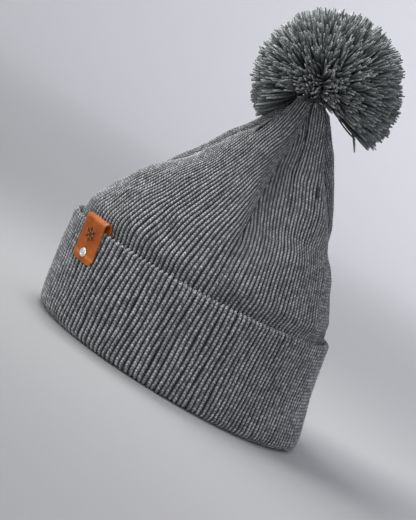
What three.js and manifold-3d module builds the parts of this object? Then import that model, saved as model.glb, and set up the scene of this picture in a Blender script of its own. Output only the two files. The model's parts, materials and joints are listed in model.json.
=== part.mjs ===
// Pom pom beanie: a double layer ribbed knit hat with a turned-up cuff, a leather tab and a yarn pom.
// Millimetres. +Z runs up from the brim to the crown's tip, -Y is the wearer's front, +X the wearer's
// left. The origin is the centre of the head opening, in the plane of the brim.
import * as THREE from "three";
import { mergeVertices } from "three/addons/utils/BufferGeometryUtils.js";
import Module from "manifold-3d";

// Band: the straight lower stretch, an ellipse that leans forward as it rises.
const BAND_HALF_LENGTH = 109.5;
const BAND_HALF_WIDTH = 87.6;
const BAND_LEAN = 0.19;
const CUFF_HEIGHT = 74;

// The cuff is turned up a little further at the back, where its top edge rises by this much.
const HEM_RISE_BACK = 7;

// Knit: two layers in the crown and two in the cuff. GAP is what pieces that touch keep between them,
// and LINING_GAP is the looser one between the crown's two layers.
const KNIT = 2.2;
const GAP = 0.3;
const LINING_GAP = 0.8;
const CUFF_LAYER = 2.3;
const CUFF_THICKNESS = 2 * CUFF_LAYER + GAP;
const CROWN_INSET = 8;
const CROWN_FOOT = 5.3;
const WALL_THICKNESS = CROWN_INSET + 2 * KNIT + LINING_GAP;
const HEM_RADIUS = CUFF_THICKNESS / 2;
const BRIM_ROUNDING = 2.5;

// Crown: stations at equal steps of height. Each gives where the section would end at the front and at
// the back without the darts, its half width, and how deep the four darts pull it in, as a share of its
// radius. Above the last station the crown closes in a low dome round the hole for the tie.
const DOME_FOOT = 224;
const CROWN_STATIONS = [
  { front: -107, back: 80, halfWidth: 76, dart: 0 },
  { front: -92.5, back: 68, halfWidth: 67, dart: 0.03 },
  { front: -75, back: 54.5, halfWidth: 54, dart: 0.12 },
  { front: -58, back: 41.5, halfWidth: 42, dart: 0.19 },
  { front: -40, back: 26.5, halfWidth: 29, dart: 0.22 },
  { front: -26, back: 4.5, halfWidth: 13, dart: 0.16 },
];
const DART_HALF_ANGLE = THREE.MathUtils.degToRad(15);
const DART_FOOT = 113;
const SEAM_TOP = 203;
const SEAM_WIDTH = 3;
const SEAM_DEPTH = 2;
const TIP_HOLE_RADIUS = 3.6;
const DOME_RISE = 5;
const RIM_ABOVE_TIP = 1.6;
const AROUND = 48;

// Leather tab: one strap folded over the cuff's top edge and riveted through it.
const TAB_ANGLE = THREE.MathUtils.degToRad(40);
const TAB_WIDTH = 23;
const TAB_THICKNESS = 1.5;
const TAB_FRONT_LENGTH = 33;
const TAB_BACK_LENGTH = 32;
const TAB_RISE = 7;
const TAB_CORNER = 5;
const RIVET_ABOVE_END = 6.3;
const RIVET_CAP_RADIUS = 3.4;
const RIVET_CAP_HEIGHT = 1.3;
const RIVET_POST_RADIUS = 1.5;
const RIVET_HOLE_RADIUS = 1.9;
const RIVET_FLANGE_RADIUS = 3;
const RIVET_FLANGE_THICKNESS = 0.6;

// Pom: a ball of cut yarn on a short tie through the crown's tip, leaning back a little. Its underside
// is level over the tip and then falls away round the crown. Heights are counted from the tip.
const POM_RADIUS = 55.5;
const POM_RISE = 15;
const POM_LEAN_BACK = THREE.MathUtils.degToRad(5);
const POM_UNDERSIDE_HEIGHT = 5.5;
const POM_LEVEL_RADIUS = 15;
const POM_UNDERSIDE_SLOPE = THREE.MathUtils.degToRad(15);
const POM_WELL_RADIUS = 9;
const POM_WELL_TOP = 24;
const BINDING_RADIUS = 4.6;
const BINDING_CORD = 1.3;
const BINDING_TURNS = 3;
const CORD_RADIUS = 1.3;
const NECK_BELOW = 3.2;
const NECK_ABOVE = 3;
const KNOT_RADIUS = 5;
const STITCH_RADIUS = 6;
const STITCH_CORD = 0.7;

const wasm = await Module();
wasm.setup();

const beanie = new THREE.Group();

const KNIT_GREY = new THREE.Color().setRGB(0.4, 0.4, 0.41, THREE.SRGBColorSpace);
const YARN_GREY = new THREE.Color().setRGB(0.42, 0.44, 0.44, THREE.SRGBColorSpace);
const THREAD_GREY = new THREE.Color().setRGB(0.3, 0.3, 0.31, THREE.SRGBColorSpace);
const LEATHER_TAN = new THREE.Color().setRGB(0.66, 0.37, 0.16, THREE.SRGBColorSpace);
const STEEL_WHITE = new THREE.Color().setRGB(0.86, 0.85, 0.83, THREE.SRGBColorSpace);

function cloth(color) {
  return new THREE.MeshStandardMaterial({ color, roughness: 0.95, metalness: 0 });
}

function leather() {
  return new THREE.MeshStandardMaterial({ color: LEATHER_TAN, roughness: 0.5, metalness: 0 });
}

function steel() {
  return new THREE.MeshStandardMaterial({ color: STEEL_WHITE, roughness: 0.25, metalness: 1 });
}

function addPiece(name, geometry, material) {
  const mesh = new THREE.Mesh(geometry, material);
  mesh.name = name;
  beanie.add(mesh);
  return mesh;
}

// ---- Solids and cuts -------------------------------------------------------------------------

function solidOf(geometry) {
  const bare = geometry.clone();
  bare.deleteAttribute("normal");
  bare.deleteAttribute("uv");
  const merged = mergeVertices(bare, 1e-4);
  const mesh = new wasm.Mesh({
    numProp: 3,
    vertProperties: new Float32Array(merged.attributes.position.array),
    triVerts: new Uint32Array(merged.index.array),
  });
  return new wasm.Manifold(mesh);
}

function geometryOf(solid) {
  const mesh = solid.getMesh();
  const position = new THREE.BufferAttribute(new Float32Array(mesh.vertProperties), 3);
  const geometry = new THREE.BufferGeometry();
  geometry.setAttribute("position", position);
  geometry.setIndex(new THREE.BufferAttribute(new Uint32Array(mesh.triVerts), 1));
  return geometry;
}

function drilled(geometry, drill) {
  return geometryOf(solidOf(geometry).subtract(solidOf(drill)));
}

// A closed surface from rows of points. Each row is a loop, and the rows close on themselves too when
// closeRows is true. Otherwise the first and last rows are filled in: their points run up one side of
// a strip and back down its other side, and each point is joined across to the one opposite.
function gridSolid(rows, closeRows) {
  const columns = rows[0].length;
  const positions = rows.flat().flatMap((point) => point.toArray());
  const index = [];
  const lastRow = closeRows ? rows.length : rows.length - 1;
  for (let j = 0; j < lastRow; j += 1) {
    const next = (j + 1) % rows.length;
    for (let i = 0; i < columns; i += 1) {
      const a = j * columns + i;
      const b = j * columns + ((i + 1) % columns);
      const c = next * columns + ((i + 1) % columns);
      const d = next * columns + i;
      index.push(a, b, c, a, c, d);
    }
  }
  if (!closeRows) {
    const last = (rows.length - 1) * columns;
    for (let i = 0; i < columns / 2 - 1; i += 1) {
      const across = columns - 1 - i;
      index.push(i, across, across - 1, i, across - 1, i + 1);
      index.push(last + i, last + across - 1, last + across, last + i, last + i + 1, last + across - 1);
    }
  }
  const geometry = new THREE.BufferGeometry();
  geometry.setAttribute("position", new THREE.Float32BufferAttribute(positions, 3));
  geometry.setIndex(index);
  return facingOut(geometry);
}

function facingOut(geometry) {
  if (solidOf(geometry).volume() > 0) {
    return geometry;
  }
  const index = geometry.index.array;
  for (let i = 0; i < index.length; i += 3) {
    [index[i + 1], index[i + 2]] = [index[i + 2], index[i + 1]];
  }
  return geometry;
}

// ---- The hat's sections ----------------------------------------------------------------------
// An angle of 0 is the front, 90 degrees the wearer's left, 180 the back.

function bandPoint(angle, height, out) {
  const normal = new THREE.Vector2(
    Math.sin(angle) / BAND_HALF_WIDTH,
    -Math.cos(angle) / BAND_HALF_LENGTH,
  ).normalize();
  return new THREE.Vector3(
    BAND_HALF_WIDTH * Math.sin(angle) + out * normal.x,
    -BAND_HALF_LENGTH * Math.cos(angle) - BAND_LEAN * height + out * normal.y,
    height,
  );
}

// The crown's outer surface at the cuff's top, which is where its own stations start.
const CROWN_START = {
  front: bandPoint(0, CUFF_HEIGHT, -CROWN_INSET).y,
  back: bandPoint(Math.PI, CUFF_HEIGHT, -CROWN_INSET).y,
  halfWidth: BAND_HALF_WIDTH - CROWN_INSET,
  dart: 0,
};

// A smooth curve through one figure of every station, read by height.
function stationCurve(key) {
  const values = [CROWN_START, ...CROWN_STATIONS].map((station) => station[key]);
  const points = values.map((value, i) => new THREE.Vector2(i, value));
  const curve = new THREE.SplineCurve(points);
  return (height) => {
    const share = (height - CUFF_HEIGHT) / (DOME_FOOT - CUFF_HEIGHT);
    return curve.getPoint(Math.min(Math.max(share, 0), 1)).y;
  };
}

const frontAt = stationCurve("front");
const backAt = stationCurve("back");
const halfWidthAt = stationCurve("halfWidth");
const dartAt = stationCurve("dart");

function dartPull(angle) {
  const quarter = Math.PI / 2;
  const away = angle - quarter * Math.round(angle / quarter);
  return Math.exp(-((away / DART_HALF_ANGLE) ** 2));
}

function crownPoint(angle, height, inset) {
  if (height <= CUFF_HEIGHT) {
    return bandPoint(angle, height, -CROWN_INSET - inset);
  }
  const centre = (frontAt(height) + backAt(height)) / 2;
  const halfLength = (backAt(height) - frontAt(height)) / 2;
  const pull = 1 - Math.max(dartAt(height), 0) * dartPull(angle);
  const normal = new THREE.Vector2(
    Math.sin(angle) / halfWidthAt(height),
    -Math.cos(angle) / halfLength,
  ).normalize();
  return new THREE.Vector3(
    halfWidthAt(height) * pull * Math.sin(angle) - inset * normal.x,
    centre - halfLength * pull * Math.cos(angle) - inset * normal.y,
    height,
  );
}

// The tip is the point the pom swings about, just under the rim of the hole at the top of the dome.
const TIP = new THREE.Vector3(
  0,
  (frontAt(DOME_FOOT) + backAt(DOME_FOOT)) / 2,
  DOME_FOOT + DOME_RISE - RIM_ABOVE_TIP,
);

function ring(pointAt) {
  const points = [];
  for (let i = 0; i < AROUND; i += 1) {
    points.push(pointAt((2 * Math.PI * i) / AROUND));
  }
  return points;
}

// ---- Cuff ------------------------------------------------------------------------------------

// A solid round the band. The profile's points are [out, height], and those over half the cuff's height
// rise with its top edge towards the back.
function bandSolid(profile) {
  return gridSolid(
    profile.map(([out, height]) =>
      ring((angle) => {
        const rise = height > CUFF_HEIGHT / 2 ? HEM_RISE_BACK * ((1 - Math.cos(angle)) / 2) ** 2 : 0;
        return bandPoint(angle, height + rise, out);
      }),
    ),
    true,
  );
}

function hemArc(steps) {
  const points = [];
  for (let i = 0; i <= steps; i += 1) {
    const turn = (Math.PI * i) / steps;
    points.push([
      -HEM_RADIUS + HEM_RADIUS * Math.cos(turn),
      CUFF_HEIGHT - HEM_RADIUS + HEM_RADIUS * Math.sin(turn),
    ]);
  }
  return points;
}

// The layer seen from outside: round the brim at the bottom and over the hem at the top.
function cuffFaceLayer() {
  const hemFoot = CUFF_HEIGHT - HEM_RADIUS - CUFF_LAYER / 2;
  return bandSolid([
    [-BRIM_ROUNDING, 0],
    [-BRIM_ROUNDING / 4, BRIM_ROUNDING / 4],
    [0, BRIM_ROUNDING],
    ...hemArc(6),
    [-CUFF_THICKNESS, hemFoot],
    [-CUFF_LAYER, hemFoot],
    [-CUFF_LAYER, CUFF_LAYER],
    [-WALL_THICKNESS, CUFF_LAYER],
    [-WALL_THICKNESS, 0],
  ]);
}

// The layer behind it, between the face layer and the crown.
function cuffBackingLayer() {
  const top = CUFF_HEIGHT - HEM_RADIUS - CUFF_LAYER / 2 - GAP;
  const outer = -CUFF_LAYER - GAP;
  const foot = CUFF_LAYER + GAP;
  return bandSolid([
    [outer, foot],
    [outer, top],
    [-CUFF_THICKNESS, top],
    [-CUFF_THICKNESS, foot + CUFF_LAYER],
    [-WALL_THICKNESS, foot + CUFF_LAYER],
    [-WALL_THICKNESS, foot],
  ]);
}

// ---- Crown -----------------------------------------------------------------------------------

// Every layer has its rows at the same heights below the dome, so that they stay parallel.
function crownHeights(top) {
  const heights = [CROWN_FOOT, CUFF_HEIGHT / 2, CUFF_HEIGHT];
  const steps = 12;
  for (let i = 1; i < steps; i += 1) {
    heights.push(CUFF_HEIGHT + ((DOME_FOOT - CUFF_HEIGHT) * i) / steps);
  }
  heights.push(top);
  return heights;
}

// One knit layer from the brim fold to the gathered hole at the tip. depth is how far its outer
// face lies inside the crown's outer surface.
function crownLayer(depth) {
  const outerTop = DOME_FOOT - 1.2 * depth;
  const innerTop = outerTop - 1.2 * KNIT;
  const hole = (height) =>
    ring(
      (angle) =>
        new THREE.Vector3(
          TIP_HOLE_RADIUS * Math.sin(angle),
          TIP.y - TIP_HOLE_RADIUS * Math.cos(angle),
          height,
        ),
    );
  const shoulder = (foot, inset) =>
    ring((angle) => {
      const edge = crownPoint(angle, foot, inset);
      const axis = new THREE.Vector3(0, TIP.y, foot);
      return edge.lerp(axis, 0.36).setZ(foot + 0.66 * DOME_RISE);
    });
  const outside = crownHeights(outerTop).map((height) =>
    ring((angle) => crownPoint(angle, height, depth)),
  );
  const inside = crownHeights(innerTop).map((height) =>
    ring((angle) => crownPoint(angle, height, depth + KNIT)),
  );
  return gridSolid(
    [
      ...outside,
      shoulder(outerTop, depth),
      hole(outerTop + DOME_RISE),
      hole(innerTop + DOME_RISE),
      shoulder(innerTop, depth + KNIT),
      ...inside.reverse(),
    ],
    true,
  );
}

// The sewn ridge inside one dart, from its foot to near the tip.
function dartSeam(angle) {
  const depth = 2 * KNIT + 2 * LINING_GAP;
  const rows = [];
  const steps = 9;
  for (let i = 0; i <= steps; i += 1) {
    const height = DART_FOOT + ((SEAM_TOP - DART_FOOT) * i) / steps;
    const outer = crownPoint(angle, height, depth);
    const inner = crownPoint(angle, height, depth + SEAM_DEPTH);
    const side = new THREE.Vector3(Math.cos(angle), Math.sin(angle), 0);
    side.multiplyScalar(SEAM_WIDTH / 2);
    rows.push([
      outer.clone().sub(side.clone().multiplyScalar(0.6)),
      outer.clone().add(side.clone().multiplyScalar(0.6)),
      inner.clone().add(side),
      inner.clone().sub(side),
    ]);
  }
  return gridSolid(rows, false);
}

function torus(radius, cord) {
  return new THREE.TorusGeometry(radius, cord, 8, 28);
}

// ---- Leather tab and rivet -------------------------------------------------------------------

// The strap's middle line, seen from its edge: up the outside, over the hem and down behind.
function tabPath() {
  const front = GAP + TAB_THICKNESS / 2;
  const back = -CUFF_THICKNESS - GAP - TAB_THICKNESS / 2;
  const bend = (front - back) / 2;
  const bendHeight = CUFF_HEIGHT + TAB_RISE - TAB_THICKNESS / 2 - bend;
  const frontEnd = CUFF_HEIGHT + TAB_RISE - TAB_FRONT_LENGTH;
  const backEnd = CUFF_HEIGHT + TAB_RISE - TAB_BACK_LENGTH;
  const points = [new THREE.Vector2(front, frontEnd), new THREE.Vector2(front, frontEnd + TAB_CORNER)];
  const steps = 10;
  for (let i = 0; i <= steps; i += 1) {
    const turn = (Math.PI * i) / steps;
    points.push(
      new THREE.Vector2(
        (front + back) / 2 + bend * Math.cos(turn),
        bendHeight + bend * Math.sin(turn),
      ),
    );
  }
  points.push(new THREE.Vector2(back, backEnd));
  return points;
}

function tabGeometry() {
  const path = tabPath();
  const sides = path.map((point, i) => {
    const before = path[Math.max(i - 1, 0)];
    const after = path[Math.min(i + 1, path.length - 1)];
    const along = after.clone().sub(before).normalize();
    return new THREE.Vector2(along.y, -along.x).multiplyScalar(TAB_THICKNESS / 2);
  });
  const outline = [
    ...path.map((point, i) => point.clone().add(sides[i])),
    ...path.map((point, i) => point.clone().sub(sides[i])).reverse(),
  ];
  const frontEnd = path[0].y;
  const tangent = Math.hypot(
    BAND_HALF_WIDTH * Math.cos(TAB_ANGLE),
    BAND_HALF_LENGTH * Math.sin(TAB_ANGLE),
  );
  const across = [-1, -0.93, -0.8, -0.6, -0.2, 0.2, 0.6, 0.8, 0.93, 1];
  const rows = across.map((share) => {
    const reach = (Math.abs(share) * TAB_WIDTH) / 2 - (TAB_WIDTH / 2 - TAB_CORNER);
    const cut = TAB_CORNER - Math.sqrt(TAB_CORNER ** 2 - Math.max(reach, 0) ** 2);
    const angle = TAB_ANGLE + (share * TAB_WIDTH) / 2 / tangent;
    return outline.map((point) => {
      const height = point.y === frontEnd ? frontEnd + cut * 0.9 : point.y;
      return bandPoint(angle, height, point.x);
    });
  });
  return gridSolid(rows, false);
}

// A turned solid whose axis is square to the leaning cuff, at the rivet's height. The profile's second
// figure is the distance out from the band's surface.
function onRivetAxis(profile) {
  const geometry = new THREE.LatheGeometry(
    profile.map(([radius, out]) => new THREE.Vector2(radius, out)),
    20,
  );
  const height = CUFF_HEIGHT + TAB_RISE - TAB_FRONT_LENGTH + RIVET_ABOVE_END;
  const foot = bandPoint(TAB_ANGLE, height, 0);
  const outward = bandPoint(TAB_ANGLE, height, 1).sub(foot);
  outward.z = BAND_LEAN * outward.y;
  outward.normalize();
  const turn = new THREE.Quaternion().setFromUnitVectors(new THREE.Vector3(0, 1, 0), outward);
  geometry.applyQuaternion(turn);
  geometry.translate(foot.x, foot.y, foot.z);
  return facingOut(geometry);
}

const TAB_FACE = GAP + TAB_THICKNESS;
const TAB_REVERSE = -CUFF_THICKNESS - GAP - TAB_THICKNESS;

function rivetCap() {
  const base = TAB_FACE + GAP + 0.1;
  return onRivetAxis([
    [0, base],
    [RIVET_CAP_RADIUS - 0.3, base],
    [RIVET_CAP_RADIUS, base + 0.3],
    [RIVET_CAP_RADIUS * 0.9, base + RIVET_CAP_HEIGHT * 0.7],
    [RIVET_CAP_RADIUS * 0.62, base + RIVET_CAP_HEIGHT],
    [RIVET_CAP_RADIUS * 0.5, base + RIVET_CAP_HEIGHT * 0.75],
    [0, base + RIVET_CAP_HEIGHT * 0.7],
  ]);
}

function rivetPost() {
  const seat = TAB_REVERSE - GAP;
  return onRivetAxis([
    [0, seat - RIVET_FLANGE_THICKNESS],
    [RIVET_FLANGE_RADIUS, seat - RIVET_FLANGE_THICKNESS],
    [RIVET_FLANGE_RADIUS, seat],
    [RIVET_POST_RADIUS, seat],
    [RIVET_POST_RADIUS, TAB_FACE],
    [0, TAB_FACE],
  ]);
}

function rivetDrill() {
  return onRivetAxis([
    [0, TAB_REVERSE - 1],
    [RIVET_HOLE_RADIUS, TAB_REVERSE - 1],
    [RIVET_HOLE_RADIUS, TAB_FACE + 1],
    [0, TAB_FACE + 1],
  ]);
}

// ---- Pom and its tie -------------------------------------------------------------------------

// Heights along the pom's own axis are counted from the crown's tip.
function onPomAxis(geometry) {
  geometry.rotateX(Math.PI / 2);
  geometry.rotateX(-POM_LEAN_BACK);
  geometry.translate(TIP.x, TIP.y, TIP.z);
  return facingOut(geometry);
}

function turnedOnPomAxis(profile, segments) {
  const points = profile.map(([radius, height]) => new THREE.Vector2(radius, height));
  return onPomAxis(new THREE.LatheGeometry(points, segments));
}

// The angle below the ball's equator at which its sloping underside meets the round.
function pomRimAngle() {
  const drop = Math.tan(POM_UNDERSIDE_SLOPE);
  const level = POM_UNDERSIDE_HEIGHT - POM_RISE + drop * POM_LEVEL_RADIUS;
  return Math.asin((level * Math.cos(POM_UNDERSIDE_SLOPE)) / POM_RADIUS) - POM_UNDERSIDE_SLOPE;
}

function pomBall() {
  const rimAngle = pomRimAngle();
  const profile = [
    [0, POM_WELL_TOP],
    [POM_WELL_RADIUS, POM_WELL_TOP],
    [POM_WELL_RADIUS, POM_UNDERSIDE_HEIGHT],
    [POM_LEVEL_RADIUS, POM_UNDERSIDE_HEIGHT],
  ];
  const steps = 14;
  for (let i = 0; i <= steps; i += 1) {
    const angle = rimAngle + ((Math.PI / 2 - rimAngle) * i) / steps;
    const radius = i === steps ? 0 : POM_RADIUS * Math.cos(angle);
    profile.push([radius, POM_RISE + POM_RADIUS * Math.sin(angle)]);
  }
  return turnedOnPomAxis(profile, 32);
}

// The yarn wound tight round the middle of the bundle.
function pomBinding() {
  const profile = [];
  const steps = 6;
  const halfHeight = BINDING_CORD * (BINDING_TURNS / 2);
  for (let turn = 0; turn < BINDING_TURNS; turn += 1) {
    for (let i = 0; i < steps; i += 1) {
      const swell = Math.sin((Math.PI * i) / steps);
      const height = -halfHeight + BINDING_CORD * (turn + i / steps);
      profile.push([BINDING_RADIUS + BINDING_CORD * 0.5 * (1 + swell), POM_RISE + height]);
    }
  }
  profile.push([BINDING_RADIUS + BINDING_CORD * 0.5, POM_RISE + halfHeight]);
  profile.push([BINDING_RADIUS - BINDING_CORD * 0.5, POM_RISE + halfHeight]);
  profile.push([BINDING_RADIUS - BINDING_CORD * 0.5, POM_RISE - halfHeight]);
  profile.push(profile[0]);
  return turnedOnPomAxis(profile, 20);
}

function cordStretch(low, high) {
  return turnedOnPomAxis(
    [
      [0, low],
      [CORD_RADIUS, low],
      [CORD_RADIUS, high],
      [0, high],
    ],
    12,
  );
}

function tieKnot() {
  const centre = TIP.z - NECK_BELOW - GAP - KNOT_RADIUS * 0.8;
  const geometry = new THREE.SphereGeometry(KNOT_RADIUS, 14, 10);
  geometry.rotateX(Math.PI / 2);
  geometry.scale(1, 1, 0.75);
  geometry.translate(TIP.x, TIP.y, centre);
  return geometry;
}

function closingStitch() {
  const geometry = torus(STITCH_RADIUS, STITCH_CORD);
  geometry.translate(TIP.x, TIP.y, TIP.z + RIM_ABOVE_TIP + STITCH_CORD + GAP);
  return geometry;
}

// ---- The assembly ----------------------------------------------------------------------------

const drill = rivetDrill();
addPiece("cuff_face_layer", drilled(cuffFaceLayer(), drill), cloth(KNIT_GREY));
addPiece("cuff_backing_layer", drilled(cuffBackingLayer(), drill), cloth(KNIT_GREY));
addPiece("leather_tab", drilled(tabGeometry(), drill), leather());
addPiece("rivet_cap", rivetCap(), steel());
addPiece("rivet_post", rivetPost(), steel());

addPiece("crown_outer_layer", crownLayer(0), cloth(KNIT_GREY));
addPiece("crown_lining", crownLayer(KNIT + LINING_GAP), cloth(KNIT_GREY));
["front", "left", "back", "right"].forEach((side, i) => {
  addPiece("dart_seam_" + side, dartSeam((Math.PI * i) / 2), cloth(THREAD_GREY));
});
addPiece("closing_stitch", closingStitch(), cloth(THREAD_GREY));
addPiece("tie_knot", tieKnot(), cloth(YARN_GREY));

addPiece("tie_neck", cordStretch(-NECK_BELOW, NECK_ABOVE), cloth(YARN_GREY));
addPiece("tie_loop", cordStretch(NECK_ABOVE + GAP, POM_WELL_TOP - GAP), cloth(YARN_GREY));
addPiece("pom_yarn", pomBall(), cloth(YARN_GREY));
addPiece("pom_binding", pomBinding(), cloth(THREAD_GREY));

export default beanie;
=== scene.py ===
"""The looks of a pom pom beanie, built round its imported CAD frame.

Lengths inside the script are millimetres, as in the CAD source, and become metres when a mesh is made.
The hat stands on its brim: +Z runs up to the pom, -Y is the wearer's front, +X the wearer's left.
Angles round the hat start at the front and pass the wearer's left at 90 degrees.
"""

import json
import math

import bmesh
import bpy
import numpy as np
from mathutils import Matrix, Vector


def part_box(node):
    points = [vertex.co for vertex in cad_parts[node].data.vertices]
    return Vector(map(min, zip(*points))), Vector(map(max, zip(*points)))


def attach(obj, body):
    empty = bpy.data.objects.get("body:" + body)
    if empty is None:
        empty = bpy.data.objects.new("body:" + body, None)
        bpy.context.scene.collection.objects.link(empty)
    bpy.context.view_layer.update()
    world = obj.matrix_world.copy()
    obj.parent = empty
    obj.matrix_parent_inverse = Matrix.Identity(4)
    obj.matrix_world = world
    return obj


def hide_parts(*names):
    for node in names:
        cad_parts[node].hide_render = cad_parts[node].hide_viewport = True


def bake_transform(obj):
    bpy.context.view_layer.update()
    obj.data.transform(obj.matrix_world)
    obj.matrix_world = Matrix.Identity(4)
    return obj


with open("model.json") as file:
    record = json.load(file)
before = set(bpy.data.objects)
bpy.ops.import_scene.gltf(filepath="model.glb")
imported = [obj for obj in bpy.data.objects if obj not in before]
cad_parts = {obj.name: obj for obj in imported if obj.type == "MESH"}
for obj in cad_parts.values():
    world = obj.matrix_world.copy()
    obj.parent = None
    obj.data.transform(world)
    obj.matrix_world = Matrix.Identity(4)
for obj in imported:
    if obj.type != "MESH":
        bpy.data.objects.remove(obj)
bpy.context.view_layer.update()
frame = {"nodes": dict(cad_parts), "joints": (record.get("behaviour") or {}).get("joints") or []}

MM = 0.001
TURN = 2 * math.pi


def box_mm(node):
    """The lowest and highest corners of a CAD node, in millimetres."""
    low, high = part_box(node)
    return np.array(low) / MM, np.array(high) / MM


def joint(name):
    return next(j for j in frame["joints"] if j["name"] == name)


# ---- Sizes taken from the frame ----

CUFF_LOW, CUFF_HIGH = box_mm("cuff_face_layer")
CROWN_LOW, CROWN_HIGH = box_mm("crown_outer_layer")
TAB_LOW, TAB_HIGH = box_mm("leather_tab")
SLIDE_AXIS = joint("cuff_turn")["axis"]
TIP = np.array(joint("pom_nod")["pos_m"]) / MM

HEM_RISE_BACK = 7
CUFF_HEIGHT = float(CUFF_HIGH[2]) - HEM_RISE_BACK
BAND_HALF_WIDTH = float(CUFF_HIGH[0])
BAND_LEAN = -SLIDE_AXIS[1] / SLIDE_AXIS[2]
HEM_RADIUS = 2.45
CUFF_THICKNESS = 2 * HEM_RADIUS
BRIM_FOLD_RADIUS = 6.5
BAND_HALF_LENGTH = (CUFF_HIGH[1] - CUFF_LOW[1] - BAND_LEAN * (CUFF_HEIGHT - HEM_RADIUS - 2.5)) / 2
CROWN_INSET = BAND_HALF_WIDTH - float(CROWN_HIGH[0])
LINING_DEPTH = 5.2
CROWN_START_HEIGHT = CUFF_HEIGHT - 6
TIP_HOLE_RADIUS = 3.6
DOME_RISE = 5
DOME_FOOT = float(TIP[2]) + 1.6 - DOME_RISE
DOME_SPAN = 14
DOME_TOP = DOME_FOOT + DOME_SPAN
POM_RADIUS = float(box_mm("pom_yarn")[1][0])

# ---- Shape of the crown, as in the CAD source ----
# Where its front and back lie, its half width and the share its darts sink, at levels from the cuff up.

CROWN_HALF_LENGTH = BAND_HALF_LENGTH - CROWN_INSET
CROWN_SHIFT = BAND_LEAN * CUFF_HEIGHT
CROWN_FRONT = (-CROWN_HALF_LENGTH - CROWN_SHIFT, -107, -92.5, -75, -58, -40, -26)
CROWN_BACK = (CROWN_HALF_LENGTH - CROWN_SHIFT, 80, 68, 54.5, 41.5, 26.5, 4.5)
CROWN_HALF_WIDTH = (BAND_HALF_WIDTH - CROWN_INSET, 76, 67, 54, 42, 29, 13)
CROWN_DART = (0, 0, 0.03, 0.12, 0.19, 0.22, 0.16)
DART_FOOT = 113

# How deep the side darts sink, as a share of the radius, by height. The front and back ones sink less.
SIDE_DART_DEPTH = {95: 0, 112: 0.045, 124: 0.11, 149: 0.26, 174: 0.39, 199: 0.44, 224: 0.32}
END_DART_DEEPER = 1.8
END_DART_ANGLE = math.radians(10)
SIDE_DART_FRONT_ANGLE = math.radians(4)
SIDE_DART_BACK_ANGLE = math.radians(31)

# How far behind the wearer's side each side dart lies, in degrees, by height.
SIDE_DART_SHIFT = {74: 4.6, 130: 4.6, 141: 3.2, 152: 1.8, 162: 0, 176: -2.5, 203: -4, 218: 0}

# How far round to the wearer's left the front and back darts have sunk, in degrees, by height.
FRONT_DART_SHIFT = {135: 0, 150: 5, 172: 11, 200: 17, 224: 20}
BACK_DART_SHIFT = {130: 0, 160: 9, 176: 18, 200: 23, 224: 27}

# Soft folds that run level round the back of the crown: height, half depth and rise out of the surface.
BACK_FOLDS = ((122, 9, 1.0), (138, 6, -1.8), (157, 10, 1.6), (194, 13, -2.6), (218, 8, 1.4))

# Where the crown comes up out of the cuff it is drawn in, and just above that it bulges over the edge.
TUCK = 2.3
BULGE = 1.7

# How far the cuff sags inwards low down at the back, and near the hem in front.
BACK_SLACK = 2.6
FRONT_SLACK = 2.0

# ---- Ribs ----
# The width of a rib, by the angle in degrees from the front on either side.

CROWN_PITCH = {
    0: 3.5, 20: 3.6, 35: 3.7, 60: 3.68, 92: 3.6, 100: 3.2, 115: 3.05, 130: 3.1, 145: 3.1, 180: 2.75,
}
CUFF_PITCH = {
    0: 3.9, 30: 4.0, 55: 4.1, 70: 3.9, 90: 3.7, 108: 3.6, 117: 3.0, 135: 3.05, 150: 3.5, 180: 3.6,
}

# Between two darts the ribs close up until they are this wide, by height, and then the darts end them.
FRONT_LEAST_PITCH = {113: 2.25, 224: 2.2}
BACK_LEAST_PITCH = {113: 2.6, 140: 2.55, 162: 2.65, 224: 2.2}

# Where between its two darts a quadrant's ribs run straight on up, as a share of its ribs.
FRONT_ANCHOR = 0.62
BACK_ANCHOR = 0.36

# How far the cuff's ribs drift back along the leaning band, per millimetre of height.
CUFF_DRIFT = 0.176

STITCH = 2.2
RIB_DEPTH_SHARE = 0.42
RIB_FILL = 0.74
CROWN_ROW = 1.1
RIB_COLUMNS = (0.0, 0.125, 0.17, 0.27, 0.41, 0.59, 0.73, 0.83, 0.875)
STITCH_SWELL = 0.16
RIB_UNEVENNESS = 0.1
CROWN_STRAY = 0.1
CUFF_STRAY = 0.14
LINING_COLUMNS = (0.0, 0.25, 0.5, 0.75)
LINING_RIB_DEPTH = 1.1

rng = np.random.default_rng(20)


def smoothstep(low, high, value):
    t = np.clip((value - low) / (high - low), 0, 1)
    return t * t * (3 - 2 * t)


def bell(distance, reach, power=2):
    """One at no distance, falling to about a third at the reach and to nothing further off."""
    return np.exp(-((np.abs(distance) / reach) ** power))


def look_up(table, value):
    """Reads a table of {place: figure} at a value, in straight lines between its entries."""
    return np.interp(value, list(table), list(table.values()))


def unit(vectors):
    return vectors / np.maximum(np.linalg.norm(vectors, axis=-1, keepdims=True), 1e-9)


def level_unit(vectors):
    """The level directions of some vectors."""
    return unit(vectors * [1, 1, 0])


def arc_length(points, axis=0):
    """The length along a line of points up to each of them, or along every line of a grid of points."""
    total = np.cumsum(np.linalg.norm(np.diff(points, axis=axis), axis=-1), axis=axis)
    return np.insert(total, 0, 0, axis=axis)


def round_turn(count):
    """Angles spread evenly over a full turn."""
    return np.arange(count) * TURN / count


def ray(angle):
    return np.array([math.cos(angle), math.sin(angle)])


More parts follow.
